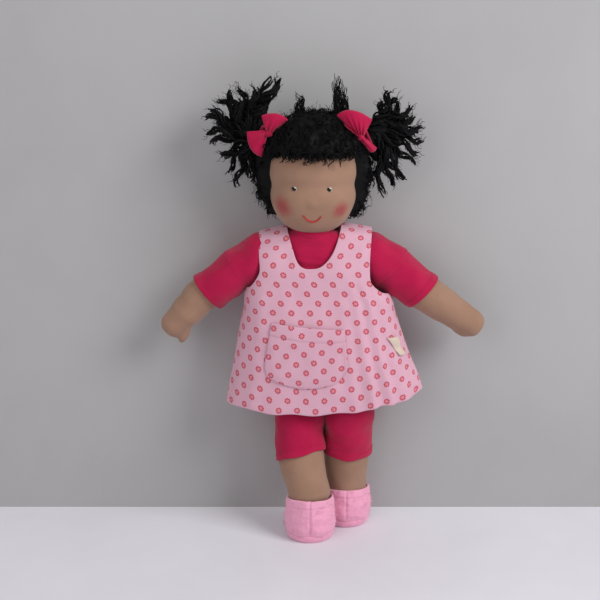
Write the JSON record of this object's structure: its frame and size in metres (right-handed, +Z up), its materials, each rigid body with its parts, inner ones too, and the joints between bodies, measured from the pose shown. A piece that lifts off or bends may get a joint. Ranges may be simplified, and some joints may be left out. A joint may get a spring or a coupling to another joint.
{
  "type": "waldorf doll",
  "caption": "Soft wool-filled doll with yarn hair in two bunches and bows, a pinafore dress with a patch pocket, top, shorts and felt shoes.",
  "frame": {"origin": "middle of the doll's outline seen from above, at the bottom of its shoes", "axes": "+Z up the doll from soles to crown, -Y the way the face looks, +X towards its left hand"},
  "size_m": [0.2744, 0.0786, 0.3831],
  "materials": {
    "tan_jersey": "matte",
    "black_yarn": "matte",
    "white_thread": "matte",
    "red_thread": "matte",
    "crimson_jersey": "matte",
    "pink_print_cotton": "matte",
    "pink_felt": "matte",
    "cream_tape": "matte",
    "carded_wool": "matte",
    "black_thread": "satin"
  },
  "bodies": {
    "torso": {"torso_skin": "tan_jersey", "torso_wool": "carded_wool", "shirt_body": "crimson_jersey", "shirt_neckband": "crimson_jersey", "shorts_seat": "crimson_jersey", "shorts_waistband": "crimson_jersey", "dress_front": "pink_print_cotton", "dress_back": "pink_print_cotton", "dress_pocket": "pink_print_cotton", "side_label": "cream_tape"},
    "neck": {"neck_stump": "tan_jersey", "neck_tie": "white_thread"},
    "head": {"head_skin": "tan_jersey", "head_core": "carded_wool", "core_thread": "carded_wool", "nose_bead": "carded_wool", "mouth_stitch": "red_thread", "hair_cap": "black_yarn", "eye_left": "black_thread", "eye_right": "black_thread", "eye_glint_left": "white_thread", "eye_glint_right": "white_thread"},
    "pigtail_left": {"pigtail_left": "black_yarn", "hair_elastic_left": "crimson_jersey", "bow_left": "crimson_jersey", "bow_knot_left": "crimson_jersey"},
    "arm_left": {"arm_skin_left": "tan_jersey", "arm_wool_left": "carded_wool", "sleeve_left": "crimson_jersey"},
    "leg_left": {"leg_skin_left": "tan_jersey", "leg_wool_left": "carded_wool", "shorts_leg_left": "crimson_jersey"},
    "shoe_left": {"shoe_upper_left": "pink_felt", "shoe_sole_left": "pink_felt"},
    "pigtail_right": {"pigtail_right": "black_yarn", "hair_elastic_right": "crimson_jersey", "bow_right": "crimson_jersey", "bow_knot_right": "crimson_jersey"},
    "arm_right": {"arm_skin_right": "tan_jersey", "arm_wool_right": "carded_wool", "sleeve_right": "crimson_jersey"},
    "leg_right": {"leg_skin_right": "tan_jersey", "leg_wool_right": "carded_wool", "shorts_leg_right": "crimson_jersey"},
    "shoe_right": {"shoe_upper_right": "pink_felt", "shoe_sole_right": "pink_felt"}
  },
  "joints": [
    {"name": "neck_turn", "type": "hinge", "parent": "torso", "child": "neck", "pos_m": [-0.00655, 0.00357, 0.258], "axis": [0, 0, 1], "range_deg": [-35, 35]},
    {"name": "neck_nod", "type": "hinge", "parent": "neck", "child": "head", "pos_m": [-0.00655, 0.00357, 0.258], "axis": [1, 0, 0], "range_deg": [-10, 10]},
    {"name": "pigtail_left_sway", "type": "hinge", "parent": "head", "child": "pigtail_left", "pos_m": [0.03225, 0.00157, 0.3345], "axis": [0, 1, 0], "range_deg": [-8, 8], "stiffness_Nm_per_rad": 0.12},
    {"name": "pigtail_right_sway", "type": "hinge", "parent": "head", "child": "pigtail_right", "pos_m": [-0.04535, 0.00157, 0.3345], "axis": [0, -1, 0], "range_deg": [-8, 8], "stiffness_Nm_per_rad": 0.12},
    {"name": "arm_left_raise", "type": "hinge", "parent": "torso", "child": "arm_left", "pos_m": [0.04595, 0.00657, 0.2262], "axis": [0, -1, 0], "range_deg": [0, 62]},
    {"name": "arm_right_raise", "type": "hinge", "parent": "torso", "child": "arm_right", "pos_m": [-0.05505, 0.00657, 0.2262], "axis": [0, 1, 0], "range_deg": [0, 62]},
    {"name": "leg_left_swing", "type": "hinge", "parent": "torso", "child": "leg_left", "pos_m": [0.02395, 0.00357, 0.105], "axis": [-0.829, -0.5592, 0], "range_deg": [0, 55]},
    {"name": "leg_right_swing", "type": "hinge", "parent": "torso", "child": "leg_right", "pos_m": [-0.01705, 0.00357, 0.105], "axis": [-0.9397, 0.342, 0], "range_deg": [0, 55]},
    {"name": "shoe_left_off", "type": "slide", "parent": "leg_left", "child": "shoe_left", "axis": [0, 0, -1], "range_m": [0, 0.04]},
    {"name": "shoe_right_off", "type": "slide", "parent": "leg_right", "child": "shoe_right", "axis": [0, 0, -1], "range_m": [0, 0.04]}
  ]
}
